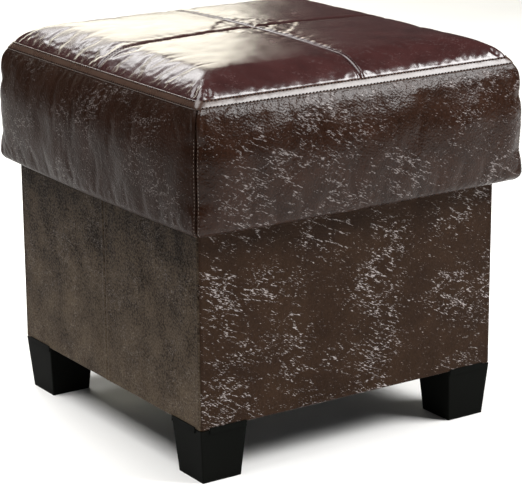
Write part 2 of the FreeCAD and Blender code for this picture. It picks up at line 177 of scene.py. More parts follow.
def sheet_piece(name, grid, material, thickness=COVER, keep=None, flip=False):
    """A sheet of cloth from a grid of points on its outer face, given its thickness inwards."""
    n, m = grid.shape[:2]
    faces = grid_faces(n, m, keep)
    piece = new_piece(name, grid, faces[:, ::-1] if flip else faces, material)
    clean(piece, outward=False)
    wall = piece.modifiers.new("cloth", "SOLIDIFY")
    wall.thickness = thickness * MM
    wall.offset = -1.0
    return piece


def shell_piece(name, shells, material):
    """A closed piece from (grid, faces) pairs whose edges meet."""
    points, faces, start = [], [], 0
    for grid, quads in shells:
        points.append(grid.reshape(-1, 3))
        faces.append(quads + start)
        start += len(points[-1])
    return clean(new_piece(name, np.concatenate(points), np.concatenate(faces), material))


# ---------------------------------------------------------------- ring surfaces
def ring(a, b, half_x, half_y, centre_y, power, bulge):
    """Plan of a plump square. a, b run round the edge of the unit square. They are drawn in to a
    superellipse of the given power, whose sides then bow outwards by the share bulge."""
    g = np.maximum(np.abs(a) ** power + np.abs(b) ** power, 1e-9) ** (-1.0 / power)
    qa, qb = a * g, b * g
    return half_x * qa * (1 - bulge * qb ** 2), centre_y + half_y * qb * (1 - bulge * qa ** 2)


def side_ab(side, s):
    """Place s from -1 to 1 along a side, as a, b on the unit square, always running anticlockwise."""
    one = np.ones_like(s)
    return {"front": (s, -one), "right": (one, s), "back": (-s, one), "left": (-one, -s)}[side]


SIDES = ("front", "right", "back", "left")


def lid_meridian():
    """Half width and height of the lid's outline against the distance along it from the top seam:
    the crown and the shoulder's arc before it, the band's lean, side, round edge and tuck after it."""
    seam_half = LID_HALF - LEAN_RADIUS * (1 - math.cos(LEAN))
    cx = seam_half - SHOULDER_RADIUS * math.cos(LEAN)
    angle = np.linspace(math.pi / 2, LEAN, 60)
    flat = np.linspace(0, cx, 80)
    z_shoulder = Z_SEAM - SHOULDER_RADIUS * math.sin(LEAN)
    top = np.stack([flat, z_shoulder + SHOULDER_RADIUS + CROWN * (1 - (flat / cx) ** 2)], 1)
    arc = np.stack([cx + SHOULDER_RADIUS * np.cos(angle), z_shoulder + SHOULDER_RADIUS * np.sin(angle)], 1)
    angle = np.linspace(LEAN, 0, 60)
    z_lean = Z_SEAM - LEAN_RADIUS * math.sin(LEAN)
    lean = np.stack([LID_HALF - LEAN_RADIUS * (1 - np.cos(angle)), z_lean + LEAN_RADIUS * np.sin(angle)], 1)
    z = np.linspace(z_lean, Z_LID + EDGE_RADIUS, 60)
    side = np.stack([LID_HALF - BELLY * ((z_lean - z) / (z_lean - z[-1])) ** 2, z], 1)
    angle = np.linspace(0, -math.pi / 2, 30)
    centre = LID_HALF - BELLY - EDGE_RADIUS
    edge = np.stack([centre + EDGE_RADIUS * np.cos(angle), Z_LID + EDGE_RADIUS * (1 + np.sin(angle))], 1)
    tuck = np.stack([np.linspace(centre, LID_HALF - TUCK, 30), np.full(30, Z_LID)], 1)
    before = np.concatenate([top, arc[1:]])
    after = np.concatenate([lean, side[1:], edge[1:], tuck[1:]])
    d0, d1 = distance(before), distance(after)
    line = np.concatenate([before, after[1:]])
    return np.concatenate([d0 - d0[-1], d1[1:]]), line


MERIDIAN_AT, MERIDIAN = lid_meridian()
TOP_RUN = -MERIDIAN_AT[0]
BAND_RUN = MERIDIAN_AT[-1]


def lid_surface(a, b, m):
    """Point of the lid's outer face. a, b give the place round it and m the distance from the top
    seam. The corners are crisp at the seam, rounder down the band and much rounder on the crown."""
    half = np.interp(m, MERIDIAN_AT, MERIDIAN[:, 0])
    z = np.interp(m, MERIDIAN_AT, MERIDIAN[:, 1])
    crown_power = 5 + 75 * smooth(m, -85.0, 0.0)
    band_power = 80 - 58 * smooth(m, 0.0, 45.0) + 40 * smooth(m, 100, 135)
    power = np.where(m < 0, crown_power, band_power)
    bulge = 0.006 * smooth(m, -TOP_RUN, 0) + 0.026 * smooth(m, 0, 45) - 0.012 * smooth(m, 110, 150)
    x, y = ring(a, b, half, half, 0.0, power, bulge)
    return np.stack([x, y, z + 0 * x], axis=-1)


def lid_point(side, s, m):
    """Point of the lid's face at place s along a side and distance m from the top seam, and the
    outward unit normal there, from the steps half a millimetre down and 0.002 along."""
    def at(ds, dm):
        return lid_surface(*side_ab(side, s + ds), m + dm)
    n = np.cross(at(0, 0.5) - at(0, -0.5), at(0.002, 0) - at(-0.002, 0))
    return at(0, 0), n / np.linalg.norm(n, axis=-1)[..., None]


def lid_top(u, v):
    """Point of the lid's top for u, v from -1 to 1: each square ring of the grid lies on one ring."""
    c = np.maximum(np.maximum(np.abs(u), np.abs(v)), 1e-6)
    return lid_surface(u / c, v / c, -TOP_RUN * (1 - c))


# ---------------------------------------------------------------- cloth simulation of the lid's cover
SIM_HALF = 44               # cells from the middle of the top to its edge
SIM_ROWS = 34               # rows down the band
SIM_FRAMES = 20


def sim_grids():
    """Coarse grids of the lid's cover: the top, and the band on each side."""
    u = np.linspace(-1, 1, 2 * SIM_HALF + 1)
    top = lid_top(*np.meshgrid(u, u, indexing="ij"))
    m = np.linspace(0, BAND_RUN - 20, SIM_ROWS + 1)
    band = {}
    for side in SIDES:
        s, rows = np.meshgrid(u, m, indexing="ij")
        band[side] = lid_surface(*side_ab(side, s), rows)
    return u, m, top, band


def simulate_lid():
    """Blows the cover up from inside while it is held at its seams and under the lid. Returns the
    grids' places and how far each point moved, softly limited to SWELL_LIMIT."""
    u, m, top, band = sim_grids()
    grids = [top] + [band[s] for s in SIDES]
    points = np.concatenate([g.reshape(-1, 3) for g in grids])
    faces, start = [], 0
    for g in grids:
        cells = grid_faces(*g.shape[:2])
        faces.append((cells if g is top else cells[:, ::-1]) + start)
        start += g.shape[0] * g.shape[1]
    key = np.round(points, 2)
    _, first, back = np.unique(key, axis=0, return_index=True, return_inverse=True)
    back = back.reshape(-1)
    cloth_finish = bpy.data.materials.new("sim")
    cover = new_piece("cover_sim", points[first], back[np.concatenate(faces)], cloth_finish)
    co = np.array([v.co for v in cover.data.vertices]) / MM
    seam = np.abs(co[:, 2] - Z_SEAM) < 7.0
    cross = (np.minimum(np.abs(co[:, 0]), np.abs(co[:, 1])) < 1.0) & (co[:, 2] > Z_SEAM)
    upright = (np.abs(np.abs(co[:, 0]) - np.abs(co[:, 1])) < 2.0) & (co[:, 2] <= Z_SEAM)
    under = co[:, 2] < Z_LID + 4.0
    held = cover.vertex_groups.new(name="held")
    held.add([int(i) for i in np.nonzero(seam | cross | upright | under)[0]], 1.0, "REPLACE")
    cloth = cover.modifiers.new("cloth", "CLOTH")
    setting = cloth.settings
    setting.quality = 6
    setting.mass = 0.4
    setting.tension_stiffness = 20
    setting.compression_stiffness = 20
    setting.shear_stiffness = 8
    setting.bending_stiffness = 0.6
    setting.use_pressure = True
    setting.uniform_pressure_force = 4.0
    setting.shrink_min = -0.012
    setting.vertex_group_mass = "held"
    setting.effector_weights.gravity = 0.0
    scene = bpy.context.scene
    cloth.point_cache.frame_start, cloth.point_cache.frame_end = 1, SIM_FRAMES
    for frame_number in range(1, SIM_FRAMES + 1):
        scene.frame_set(frame_number)
    done = cover.evaluated_get(bpy.context.evaluated_depsgraph_get())
    moved = np.array([v.co for v in done.data.vertices]) / MM - co
    scene.frame_set(1)
    far = np.linalg.norm(moved, axis=1)
    moved *= (SWELL_LIMIT * np.tanh(far / SWELL_LIMIT / 2) / np.maximum(far, 1e-6))[:, None]
    bpy.data.objects.remove(cover)
    moved = moved[back]
    out, start = [], 0
    for g in grids:
        size = g.shape[0] * g.shape[1]
        out.append(moved[start:start + size].reshape(g.shape))
        start += size
    return u, m, out[0], dict(zip(SIDES, out[1:]))


def spread_weights(coarse, fine):
    """Matrix that carries values on the coarse places to the fine ones along a smooth cubic."""
    n = len(coarse)
    x = np.clip(np.interp(fine, coarse, np.arange(n)), 0, n - 1.000001)
    i = x.astype(int)
    t = x - i
    w = np.zeros((len(fine), n))
    taps = [(-1, -0.5 * t + t ** 2 - 0.5 * t ** 3), (0, 1 - 2.5 * t ** 2 + 1.5 * t ** 3),
            (1, 0.5 * t + 2 * t ** 2 - 1.5 * t ** 3), (2, -0.5 * t ** 2 + 0.5 * t ** 3)]
    rows = np.arange(len(fine))
    for step, weight in taps:
        np.add.at(w, (rows, np.clip(i + step, 0, n - 1)), weight)
    return w


def spread(values, along, across):
    """Carries a coarse grid of vectors to a fine one by the weights along its two directions."""
    half = np.tensordot(along, values, 1)
    return np.moveaxis(np.tensordot(half, across, ([1], [1])), 2, 1)


SIM_U, SIM_M, TOP_SWELL, BAND_SWELL = simulate_lid()


# ---------------------------------------------------------------- materials
def linear(code):
    """Linear RGBA of an sRGB hex colour."""
    parts = [int(code[i:i + 2], 16) / 255 for i in (0, 2, 4)]
    return tuple(c / 12.92 if c <= 0.04045 else ((c + 0.055) / 1.055) ** 2.4 for c in parts) + (1.0,)


def node(material, kind, links=None, stops=None, **settings):
    """Adds a node. settings are its properties or plain sockets, links are sources or numbers by
    socket name or number, and stops are the (place, value or colour) stops of a colour ramp."""
    tree = material.node_tree
    made = tree.nodes.new(kind)
    for key, value in settings.items():
        if hasattr(made, key):
            setattr(made, key, value)
        else:
            made.inputs[key.replace("_", " ")].default_value = value
    for key, source in (links or {}).items():
        if isinstance(source, (int, float, tuple)):
            made.inputs[key].default_value = source
        else:
            tree.links.new(source, made.inputs[key])
    for number, (place, value) in enumerate(stops or []):
        band = made.color_ramp.elements
        stop = band[number] if number < len(band) else band.new(place)
        stop.position = place
        stop.color = linear(value) if isinstance(value, str) else (value, value, value, 1.0)
    return made


def new_material(name, **sockets):
    """A material with one Principled shader whose plain sockets are set by name, and the shader."""
    material = bpy.data.materials.new(name)
    material.use_nodes = True
    shader = material.node_tree.nodes["Principled BSDF"]
    for key, value in sockets.items():
        shader.inputs[key.replace("_", " ")].default_value = value
    return material, shader


def wire(material, shader, **sources):
    """Links node outputs to the shader's sockets by name."""
    for key, source in sources.items():
        material.node_tree.links.new(source, shader.inputs[key.replace("_", " ")])


PALE_CRACK_AND_GLINT = "b5adab"        # pale ground hide in the cracks, and the colour of painted glints
PAINTED_REFLECTION_TOP = 0.28             # a painted floor reflection starts at this height, in metres
PAINTED_REFLECTION_FOOT = 0.06            # and is full at this one


def bonded_leather(name, dark, light, crack_and_glint_share, rough, grain=1.0, specular=0.4, painted_floor_reflection=0.0):
    """Bonded leather: polyurethane film on ground hide, embossed with pebbles about 1.5 mm wide,
    drawn at 2 mm to show. Where it has been creased, its dark coat is cracked into pale flecks a
    millimetre wide and up to 5 mm long, which drift along folds on a slant and thin out between
    them; these flecks are painted glints too, their share set highest where the light falls
    brightest. It clouds lighter and darker over a few centimetres, and a painted floor reflection
    lightens its colour towards the floor, leaving its upper part darker as painted shade under the
    lid."""
    material, shader = new_material(name, IOR=1.48, Specular_IOR_Level=specular)
    place = node(material, "ShaderNodeTexCoord").outputs["Object"]
    falling = node(material, "ShaderNodeMapping", {"Vector": place}, vector_type="TEXTURE",
                   Rotation=(0.0, 0.45, 0.3), Scale=(1.0, 0.5, 0.2)).outputs["Vector"]
    rising = node(material, "ShaderNodeMapping", {"Vector": place}, vector_type="TEXTURE",
                  Rotation=(0.0, -0.5, -0.3), Location=(0.4, 0.1, 0.3),
                  Scale=(1.0, 0.5, 0.22)).outputs["Vector"]
    fold = node(material, "ShaderNodeTexNoise", {"Vector": falling}, Scale=7.0, Detail=6.0, Roughness=0.58)
    other = node(material, "ShaderNodeTexNoise", {"Vector": rising}, Scale=6.0, Detail=6.0, Roughness=0.58)
    waved = node(material, "ShaderNodeMath", {0: fold.outputs["Fac"], 1: 0.05}, operation="PINGPONG")
    folds = node(material, "ShaderNodeValToRGB", {"Fac": waved.outputs["Value"]},
                 [(0.018, 0.0), (0.05, 1.0)])
    others = node(material, "ShaderNodeValToRGB", {"Fac": other.outputs["Fac"]},
                  [(0.475, 0.0), (0.5, 0.85), (0.525, 0.0)])
    both = node(material, "ShaderNodeMath", {0: folds.outputs["Color"], 1: others.outputs["Color"]},
                operation="MAXIMUM")
    drift = node(material, "ShaderNodeTexNoise", {"Vector": place}, Scale=16.0, Detail=2.0)
    drifts = node(material, "ShaderNodeValToRGB", {"Fac": drift.outputs["Fac"]},
                  [(0.38, 0.3), (0.60, 1.0)])
    density = node(material, "ShaderNodeMath", {0: both.outputs["Value"], 1: drifts.outputs["Color"]},
                   operation="MULTIPLY")
    # pale flecks along the folds: cracks in the coat, and painted glints as well
    fleck = node(material, "ShaderNodeTexNoise", {"Vector": falling}, Scale=210.0, Detail=2.0,
                 Roughness=0.6)
    raised = node(material, "ShaderNodeMath",
                  {0: density.outputs["Value"], 1: 0.24, 2: fleck.outputs["Fac"]}, operation="MULTIPLY_ADD")
    flecks = node(material, "ShaderNodeValToRGB", {"Fac": raised.outputs["Value"]},
                  [(0.70, 0.0), (0.80, 1.0)])
    crack_and_glint_mask = node(material, "ShaderNodeMath", {0: flecks.outputs["Color"], 1: crack_and_glint_share},
                  operation="MULTIPLY")
    cloud = node(material, "ShaderNodeTexNoise", {"Vector": place}, Scale=30.0, Detail=5.0, Roughness=0.6)
    pebble = node(material, "ShaderNodeTexVoronoi", {"Vector": place}, feature="SMOOTH_F1", Scale=480.0)
    speckled = node(material, "ShaderNodeMath", {0: pebble.outputs["Distance"], 1: -0.5 * grain,
                                                 2: cloud.outputs["Fac"]}, operation="MULTIPLY_ADD")
    # painted floor reflection: lightens the colour from the first height down to the second by the last
    # argument's share, so the upper part stays darker as painted shade
    height = node(material, "ShaderNodeSeparateXYZ", {"Vector": place}).outputs["Z"]
    low = node(material, "ShaderNodeMapRange", {"Value": height}, From_Min=PAINTED_REFLECTION_TOP, From_Max=PAINTED_REFLECTION_FOOT,
               To_Max=painted_floor_reflection)
    tone = node(material, "ShaderNodeMath", {0: speckled.outputs["Value"], 1: low.outputs["Result"]},
                operation="ADD")
    coat = node(material, "ShaderNodeValToRGB", {"Fac": tone.outputs["Value"]},
                [(0.05, dark), (0.75, light)])
    # mixes the pale flecks into the colour: cracked coat and painted glints
    colour = node(material, "ShaderNodeMix", {0: crack_and_glint_mask.outputs["Value"], 6: coat.outputs["Color"],
                                              7: linear(PALE_CRACK_AND_GLINT)}, data_type="RGBA")
    relief = node(material, "ShaderNodeBump", {"Height": pebble.outputs["Distance"]},
                  Distance=0.0005 * grain, Strength=0.6)
    crease = node(material, "ShaderNodeTexNoise", {"Vector": falling}, Scale=90.0, Detail=3.0,
                  Roughness=0.5)
    creased = node(material, "ShaderNodeBump", {"Height": crease.outputs["Fac"],
                                                "Normal": relief.outputs["Normal"]},
                   Distance=0.0005 * grain, Strength=0.5)
    gloss = node(material, "ShaderNodeMapRange", {"Value": cloud.outputs["Fac"]},
                 To_Min=rough - 0.05, To_Max=rough + 0.07)
    wire(material, shader, Base_Color=colour.outputs[2], Roughness=gloss.outputs["Result"],
         Normal=creased.outputs["Normal"])
    return material


def grained(name, dark, light, size_mm, depth_mm, rough, stretch=(1.0, 1.0, 1.0), **sockets):
    """A finish whose colour and relief follow one cloudy grain of the given size, drawn out along
    the axes whose stretch is small."""
    material, shader = new_material(name, Roughness=rough, **sockets)
    place = node(material, "ShaderNodeTexCoord").outputs["Object"]
    drawn = node(material, "ShaderNodeMapping", {"Vector": place}, Scale=stretch).outputs["Vector"]
    grain = node(material, "ShaderNodeTexNoise", {"Vector": drawn}, Scale=1000 / size_mm, Detail=5.0)
    colour = node(material, "ShaderNodeValToRGB", {"Fac": grain.outputs["Fac"]},
                  [(0.35, dark), (0.65, light)])
    relief = node(material, "ShaderNodeBump", {"Height": grain.outputs["Fac"]}, Distance=depth_mm * MM)
    wire(material, shader, Base_Color=colour.outputs["Color"], Normal=relief.outputs["Normal"])
    return material


def celled(name, dark, light, size_mm, depth_mm, rough, **sockets):
    """A finish made of small cells, each of its own shade: chips, foam cells or bonding dimples."""
    material, shader = new_material(name, Roughness=rough, **sockets)
    place = node(material, "ShaderNodeTexCoord").outputs["Object"]
    cells = node(material, "ShaderNodeTexVoronoi", {"Vector": place}, Scale=1000 / size_mm)
    shade = node(material, "ShaderNodeSeparateColor", {"Color": cells.outputs["Color"]})
    colour = node(material, "ShaderNodeValToRGB", {"Fac": shade.outputs["Red"]},
                  [(0.0, dark), (1.0, light)])
    relief = node(material, "ShaderNodeBump", {"Height": cells.outputs["Distance"]}, Distance=depth_mm * MM)
    wire(material, shader, Base_Color=colour.outputs["Color"], Normal=relief.outputs["Normal"])
    return material


# the same leather on each part of the cover, more or less polished, rubbed and cracked: the top is smooth
# and mirror-like, the band shines and is lightly cracked, the box is duller and its front more cracked; the
# pale flecks are also painted glints, so the lit faces carry the most
cover_top = bonded_leather("polished_bonded_leather", "210f0e", "361b1a", 0.04, 0.24, 0.1, 0.5)
cover_band = bonded_leather("glossy_bonded_leather", "1f110a", "311c11", 0.4, 0.27, 1.1, 0.15)
# the box's front: the most pale flecks, partly painted glints where the main light falls
cover_front = bonded_leather("crackled_bonded_leather_painted_glints", "24170f", "37271b", 0.75, 0.38, 1.0, 0.05)
cover_side = bonded_leather("rubbed_bonded_leather", "1d110b", "2a1a13", 0.2, 0.36, 1.1, 0.05)
# the box's left flank: its colour is painted lighter towards the floor, a painted reflection of the floor
cover_flank = bonded_leather("matt_bonded_leather_painted_floor_reflection", "140b06", "51463a", 0.12, 0.45, 1.5, 0.02, 0.40)
cover_binding = bonded_leather("pressed_bonded_leather", "2e1f18", "402d23", 0.0, 0.27, 0.1, 0.42)
# moulded polypropylene: matt black with the faint sparkle of a spark-eroded mould, 0.8 mm
foot_black = grained("moulded_polypropylene", "080907", "0c0d0b", 0.8, 0.02, 0.6, Specular_IOR_Level=0.03)
# slabstock polyurethane foam: pale yellow open cells under a millimetre, drawn at 1.5 mm
foam = celled("slabstock_polyurethane_foam", "cfc4a0", "e6dcba", 1.5, 0.3, 0.95)
# spunbond polypropylene: black felt with bonding dimples 1 mm apart, drawn at 1.6 and 2 mm
lining_cloth = celled("spunbond_lining", "0d0d0e", "1d1d1f", 1.6, 0.2, 0.85, Sheen_Weight=0.2)
dust_cloth = celled("spunbond_dust_cloth", "101012", "222225", 2.0, 0.2, 0.9, Sheen_Weight=0.15)
# bonded polyester thread: waxed strands with a low shine
thread_dark = grained("bonded_thread_dark", "0c0807", "1a1210", 0.6, 0.05, 0.8, Specular_IOR_Level=0.08)
thread_light = grained("bonded_thread_light", "5d5048", "80746a", 0.6, 0.05, 0.6)
# pressed wood chips, 2 to 4 mm, in a pale resin
chipboard = celled("pressed_particle_board", "8a6c48", "c8ad7f", 3.0, 0.08, 0.8)
# rotary-cut birch ply: straight pale grain along y
plywood = grained("rotary_cut_birch_plywood", "b08c5a", "d3b483", 3.0, 0.05, 0.7, (1.0, 0.06, 1.0))
# planed pine: yellow grain along x
pine = grained("planed_pine", "bd9459", "dcb981", 3.5, 0.05, 0.7, (0.05, 1.0, 1.0))
# zinc-plated stampings: blue-white, slightly mottled by the bright dip
zinc = grained("zinc_plated_steel", "a9a9a2", "c9cac6", 3.0, 0.01, 0.32, Metallic=1.0)
# galvanised wire: grey, slightly mottled zinc on a drawn round wire
wire_steel = grained("galvanised_wire", "8f9092", "b3b5b8", 1.0, 0.01, 0.4, Metallic=1.0)


# ---------------------------------------------------------------- lid cover
WRINKLE = waves(11, 40, 14.0, 70.0)
PULL = waves(12, 30, 5.0, 16.0)
PUFF = waves(13, 30, 30.0, 120.0)
SEAM_CORNER = 196.0         # each way from the middle to the top seam's corner
PULL_CENTRE = 150.0         # the pulls at that corner fan out from here


def top_panel(end, side):
    """One of the four panels of the top. It dips to the cross seam and to the binding, puffs up
    beside them, and is drawn into fine folds across the shoulder, tightest at the corner."""
    name = "lid_top_panel_%s_%s" % (end, side)
    sx, sy = (1 if side == "right" else -1), (1 if end == "back" else -1)
    run = graded(TOP_RUN, 0.6, 2.3, 6.0)
    u, v = sx * run / TOP_RUN, sy * run / TOP_RUN
    uu, vv = np.meshgrid(u, v, indexing="ij")
    grid = lid_top(uu, vv)
    wu, wv = spread_weights(SIM_U, u), spread_weights(SIM_U, v)
    grid = grid + spread(TOP_SWELL, wu, wv)
    n = normals(grid) * (sx * sy)
    to_cross = np.minimum(np.abs(uu), np.abs(vv)) * TOP_RUN
    to_edge = (1 - np.maximum(np.abs(uu), np.abs(vv))) * TOP_RUN
    corner = np.hypot(np.abs(grid[..., 0]) - SEAM_CORNER, np.abs(grid[..., 1]) - SEAM_CORNER)
    around = np.arctan2(np.abs(grid[..., 1]) - PULL_CENTRE, np.abs(grid[..., 0]) - PULL_CENTRE)
    lift = -0.9 * bump(to_cross, 1.0) - 0.35 * bump(to_cross - TOP_ROW, 0.8)
    lift += 0.45 * bump(to_cross - 7.5, 5.0)
    lift += -0.25 * bump(to_edge - SEAM_TAPE / 2 - 0.4, 1.2) + 0.5 * bump(to_edge - 13, 6.0)
    lift += 0.06 * ripple(grid, WRINKLE) * smooth(to_cross, 0, 12)
    fold = ripple(grid * [1, 1, 0.3], PULL)
    lift += 0.13 * fold * bump(to_edge - 14, 13.0)
    lift += 0.5 * np.sin(around * 26) * bump(corner - 14, 11.0) * smooth(to_edge, 4, 10)
    if name == "lid_top_panel_front_left":       # a crease pressed into the left shoulder
        lift -= 0.7 * bump(grid[..., 1] + 138, 0.9) * smooth(-grid[..., 0], 128, 160)
    grid = grid + n * lift[..., None]
    return sheet_piece(name, grid, cover_top, flip=sx * sy < 0)


def band_panel(side):
    """One side of the band: puffed under the binding, drawn in at its upright seams, then round the
    lower edge and under the lid."""
    length = 2 * LID_HALF
    s = graded(length, 0.6, 2.5, 7.0) / LID_HALF - 1
    rows = graded(BAND_RUN, 0.7, 2.2, 6.0)
    ss, mm = np.meshgrid(s, rows, indexing="ij")
    grid = lid_surface(*side_ab(side, ss), mm)
    ws, wm = spread_weights(SIM_U, s), spread_weights(SIM_M, np.minimum(rows, SIM_M[-1]))
    fade = 1 - smooth(mm, SIM_M[-1] - 10, SIM_M[-1])
    grid = grid + spread(BAND_SWELL[side], ws, wm) * fade[..., None]
    n = -normals(grid)
    to_corner = (1 - np.abs(ss)) * LID_HALF
    lift = -0.25 * bump(mm - SEAM_TAPE / 2 - 0.4, 1.2) + 0.6 * bump(mm - 15, 8.0)
    lift += -1.6 * bump(to_corner, 1.2) + 0.5 * bump(to_corner - 5, 3.0)
    on_side = 1 - smooth(mm, 128, 142)
    lift += 0.14 * ripple(grid, WRINKLE) * smooth(to_corner, 0, 12) * on_side
    lift += 0.5 * ripple(grid, PUFF) * smooth(to_corner, 0, 40) * smooth(mm, 5, 40) * on_side
    lift += 0.07 * ripple(grid * [1, 1, 0.3], PULL) * bump(mm - 16, 14.0)
    grid = grid + n * lift[..., None]
    finish = cover_side if side == "left" else cover_band
    return sheet_piece("lid_band_panel_%s" % side, grid, finish, flip=True)


def lid_binding():
    """Flat binding sewn over the top seam: a closed flat section carried round the lid."""
    half, rise = SEAM_TAPE / 2, SEAM_TAPE_RISE
    across = np.array([-1, -0.96, -0.8, -0.4, 0, 0.4, 0.8, 0.96, 1, 0.9, 0, -0.9]) * half
    height = np.array([-0.4, 0.45, 0.9, 1, 1, 1, 0.9, 0.45, -0.4, -0.7, -0.7, -0.7]) * rise
    loops = []
    for side in SIDES:
        s = graded(2 * LID_HALF, 0.8, 3.0, 8.0)[:-1] / LID_HALF - 1
        ss, mm = np.meshgrid(s, across, indexing="ij")
        here, n = lid_point(side, ss, mm)
        wob = 0.05 * ripple(here, PULL) * (height > 0)
        loops.append(here + n * (height + wob)[..., None])
    points = np.concatenate(loops)
    count, width = points.shape[:2]
    index = np.arange(count * width).reshape(count, width)
    ahead, beside = np.roll(index, -1, 0), np.roll(index, -1, 1)
    faces = np.stack([index, ahead, np.roll(ahead, -1, 1), beside], -1).reshape(-1, 4)
    return clean(new_piece("lid_binding", points, faces, cover_binding))


def padding():
    """The foam under the cover, 3 mm inside it, with a flat recess underneath for the lid's board."""
    gap = 3.0
    u = np.linspace(-1, 1, 61)
    top = lid_top(*np.meshgrid(u, u, indexing="ij"))
    scale = (LID_HALF - gap) / LID_HALF
    top[..., :2] *= scale
    top[..., 2] -= gap
    rows = np.linspace(0, BAND_RUN - TUCK + 2, 40)
    shells = [(top, grid_faces(61, 61))]
    floor_z = Z_LID + COVER + 1.2
    for side in SIDES:
        ss, mm = np.meshgrid(u, rows, indexing="ij")
        g = lid_surface(*side_ab(side, ss), mm)
        g[..., :2] *= scale - 0.03 * smooth(mm, 90, BAND_RUN - TUCK)[..., None]
        g[..., 2] = np.maximum(g[..., 2] - gap * (1 - smooth(mm, 0, 100)), floor_z)
        shells.append((g, grid_faces(61, 40)))
        rim = g[:, -1]
        board = BOARD_HIGH[0] + 0.5
        inner = rim.copy()
        inner[:, :2] = np.clip(rim[:, :2], -board, board)
        above = inner.copy()
        above[:, 2] = BOARD_HIGH[2] + 0.5
        middle = above * [0, 0, 1]
        shells.append((np.stack([rim, inner, above, above * [0.5, 0.5, 1], middle], 1), grid_faces(61, 5)))
    return shell_piece("lid_padding", shells, foam)


# ---------------------------------------------------------------- stitches
def stitches(name, paths, material, length, pitch=STITCH_PITCH, thread=THREAD):
    """Rows of stitches. Each path is (points, outward normals). A stitch of the given visible
    length is a short bowed thread of hexagonal section, thick in the middle and sunk at its ends."""
    def pick(spots, at, values):
        return np.stack([np.interp(spots, at, values[:, k]) for k in range(3)], 1)
    places, forward, out = [], [], []
    for line, n in paths:
        at = distance(line)
        count = int((at[-1] - 2) / pitch)
        spots = (np.arange(count) + 0.5) * at[-1] / count
        places.append(pick(spots, at, line))
        way = pick(spots + 0.6, at, line) - pick(spots - 0.6, at, line)
        forward.append(way / np.linalg.norm(way, axis=1)[:, None])
        up = pick(spots, at, n)
        out.append(up / np.linalg.norm(up, axis=1)[:, None])
    p, f, n = (np.concatenate(x)[:, None, None, :] for x in (places, forward, out))
    side = np.cross(f, n)
    along = np.array([-0.5, -0.36, 0.0, 0.36, 0.5])
    fullness = np.array([0.35, 0.85, 1.0, 0.85, 0.35])
    bow = np.array([-0.9, 0.35, 0.7, 0.35, -0.9]) * thread
    angle = np.arange(STITCH_SEGMENTS) * 2 * math.pi / STITCH_SEGMENTS
    ax = (along * length)[None, :, None, None]
    rad = (fullness * thread)[None, :, None, None]
    h = bow[None, :, None, None]
    ca, sa = np.cos(angle)[None, None, :, None], np.sin(angle)[None, None, :, None]
    points = p + f * ax + n * (h + rad * sa) + side * (rad * ca)
    k, rings, around = points.shape[:3]
    index = np.arange(rings * around).reshape(rings, around)
    near, far = index[:-1], index[1:]
    quads = np.stack([near, np.roll(near, -1, 1), np.roll(far, -1, 1), far], -1).reshape(-1, 4)
    start, end = index[0], index[-1]
    caps = np.array([[start[0], start[3], start[2], start[1]], [start[0], start[5], start[4], start[3]],
                     [end[0], end[1], end[2], end[3]], [end[0], end[3], end[4], end[5]]])
    one = np.concatenate([quads, caps])
    faces = (one[None] + (np.arange(k) * rings * around)[:, None, None]).reshape(-1, 4)
    return clean(new_piece(name, points, faces, material), merge=1e-8)


def lid_row(side, offset, lift):
    """Path along one side of the lid at a distance from the top seam, and the normals there. It
    stops short of the corners."""
    inset = 5.0
    s = np.linspace(-1 + inset / LID_HALF, 1 - inset / LID_HALF, 240)
    here, n = lid_point(side, s, np.full_like(s, offset))
    return here + n * lift, n


def cross_row(axis, sign, offset):
    """Path beside one arm of the cross seam, from the middle of the top to the binding."""
    run = np.linspace(6, TOP_RUN - SEAM_TAPE / 2 - 1, 200) / TOP_RUN * sign
    beside = np.full_like(run, offset / TOP_RUN)
    def make(along, across):
        return lid_top(along, across) if axis == "x" else lid_top(across, along)
    here = make(run, beside)
    du = make(run + 0.002 * sign, beside) - make(run - 0.002 * sign, beside)
    dv = make(run, beside + 0.003) - make(run, beside - 0.003)
    n = np.cross(du, dv)
    n *= np.sign(n[:, 2])[:, None] / np.linalg.norm(n, axis=1)[:, None]
    return here + n * 0.1, n


def upright_row(side, end, offset):
    """Path down the band beside a corner seam, offset along the side from the corner."""
    m = np.linspace(SEAM_TAPE / 2 + 2, 146, 160)
    s = np.full_like(m, end * (1 - offset / LID_HALF))
    here, n = lid_point(side, s, m)
    return here + n * 0.2, n


# ---------------------------------------------------------------- box cover
BOX_POWER = 150.0           # the box's upright corners are nearly sharp
FOLD_RADIUS = 2.5
LEAF_GAP = 0.5              # from a hinge's leaf to the cover's cut edge
HINGE_LEAVES = ("hinge_left_box_leaf", "hinge_right_box_leaf")


